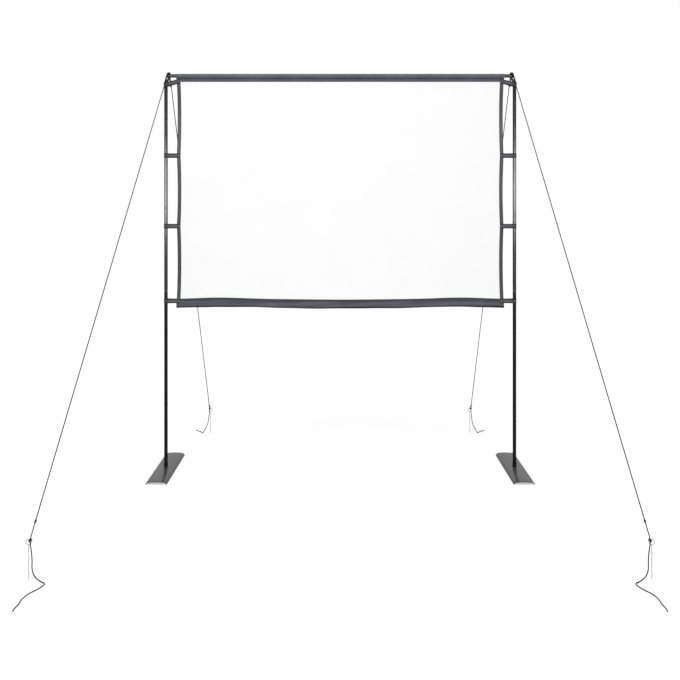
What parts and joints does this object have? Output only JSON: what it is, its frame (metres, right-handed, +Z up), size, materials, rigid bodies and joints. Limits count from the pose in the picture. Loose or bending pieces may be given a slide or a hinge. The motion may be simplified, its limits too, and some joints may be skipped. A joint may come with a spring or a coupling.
{
  "type": "projection screen",
  "caption": "Free-standing projection screen: white cloth with dark hems hung on a bar between two black poles on arched base plates, held by guy ropes with runners and ring pegs.",
  "frame": {"origin": "on the floor, midway between the two poles", "axes": "+X to the right as the screen is watched, +Y to the back, +Z up"},
  "size_m": [2.458, 1.8872, 2.1904],
  "materials": {
    "black_steel": "semi-gloss black paint",
    "plate_steel": "satin dark grey paint",
    "joiner_steel": "satin dark grey",
    "pin_steel": "black oxide",
    "bolt_steel": "zinc plated",
    "peg_steel": "bright galvanised wire",
    "black_plastic": "moulded black",
    "white_cloth": "matte white woven polyester",
    "hem_cloth": "slate grey woven hem",
    "strap_webbing": "dark grey webbing",
    "rope_cord": "braided black cord"
  },
  "bodies": {
    "frame": {"pole_foot_left": "black_plastic", "pole_lower_left": "black_steel", "pole_joiner_left": "joiner_steel", "pole_upper_left": "black_steel", "pole_plug_left": "black_plastic", "corner_pin_left": "pin_steel", "bar_end_left": "black_steel", "bar_joiner_left": "joiner_steel", "bar_cap_left": "black_plastic", "side_hem_left": "hem_cloth", "strap_top_left": "strap_webbing", "strap_upper_left": "strap_webbing", "strap_middle_left": "strap_webbing", "strap_low_left": "strap_webbing", "rope_front_left": "rope_cord", "rope_rear_left": "rope_cord", "pole_foot_right": "black_plastic", "pole_lower_right": "black_steel", "pole_joiner_right": "joiner_steel", "pole_upper_right": "black_steel", "pole_plug_right": "black_plastic", "corner_pin_right": "pin_steel", "bar_end_right": "black_steel", "bar_joiner_right": "joiner_steel", "bar_cap_right": "black_plastic", "side_hem_right": "hem_cloth", "strap_top_right": "strap_webbing", "strap_upper_right": "strap_webbing", "strap_middle_right": "strap_webbing", "strap_low_right": "strap_webbing", "rope_front_right": "rope_cord", "rope_rear_right": "rope_cord", "bar_middle": "black_steel", "screen_panel": "white_cloth", "top_band": "hem_cloth", "bottom_band": "hem_cloth"},
    "base_left": {"base_plate_left": "plate_steel", "pole_socket_left": "black_steel", "base_bolt_left": "bolt_steel"},
    "runner_front_left": {"runner_front_left": "black_plastic"},
    "peg_front_left": {"peg_front_left": "peg_steel"},
    "runner_rear_left": {"runner_rear_left": "black_plastic"},
    "peg_rear_left": {"peg_rear_left": "peg_steel"},
    "base_right": {"base_plate_right": "plate_steel", "pole_socket_right": "black_steel", "base_bolt_right": "bolt_steel"},
    "runner_front_right": {"runner_front_right": "black_plastic"},
    "peg_front_right": {"peg_front_right": "peg_steel"},
    "runner_rear_right": {"runner_rear_right": "black_plastic"},
    "peg_rear_right": {"peg_rear_right": "peg_steel"}
  },
  "joints": [
    {"name": "base_swivel_left", "type": "hinge", "parent": "frame", "child": "base_left", "pos_m": [-0.962, 0, 0.02], "axis": [0, 0, 1], "range_deg": [-90, 90]},
    {"name": "base_swivel_right", "type": "hinge", "parent": "frame", "child": "base_right", "pos_m": [0.962, 0, 0.02], "axis": [0, 0, 1], "range_deg": [-90, 90]},
    {"name": "runner_front_slide_left", "type": "slide", "parent": "frame", "child": "runner_front_left", "axis": [0.1129, 0.4634, 0.8789], "range_m": [-0.037, 0.418]},
    {"name": "runner_rear_slide_left", "type": "slide", "parent": "frame", "child": "runner_rear_left", "axis": [-0.0545, -0.2573, 0.9648], "range_m": [0, 0.479]},
    {"name": "runner_front_slide_right", "type": "slide", "parent": "frame", "child": "runner_front_right", "axis": [-0.1129, 0.4634, 0.8789], "range_m": [-0.037, 0.418]},
    {"name": "runner_rear_slide_right", "type": "slide", "parent": "frame", "child": "runner_rear_right", "axis": [0.0545, -0.2573, 0.9648], "range_m": [0, 0.479]},
    {"name": "peg_front_swing_left", "type": "hinge", "parent": "frame", "child": "peg_front_left", "pos_m": [-1.216, -1.07, 0.15], "axis": [0, 1, 0], "range_deg": [-60, 60]},
    {"name": "peg_rear_swing_left", "type": "hinge", "parent": "frame", "child": "peg_rear_left", "pos_m": [-0.825, 0.558, 0.15], "axis": [0, 1, 0], "range_deg": [-60, 60]},
    {"name": "peg_front_swing_right", "type": "hinge", "parent": "frame", "child": "peg_front_right", "pos_m": [1.216, -1.07, 0.15], "axis": [0, 1, 0], "range_deg": [-60, 60]},
    {"name": "peg_rear_swing_right", "type": "hinge", "parent": "frame", "child": "peg_rear_right", "pos_m": [0.825, 0.558, 0.15], "axis": [0, 1, 0], "range_deg": [-60, 60]}
  ]
}
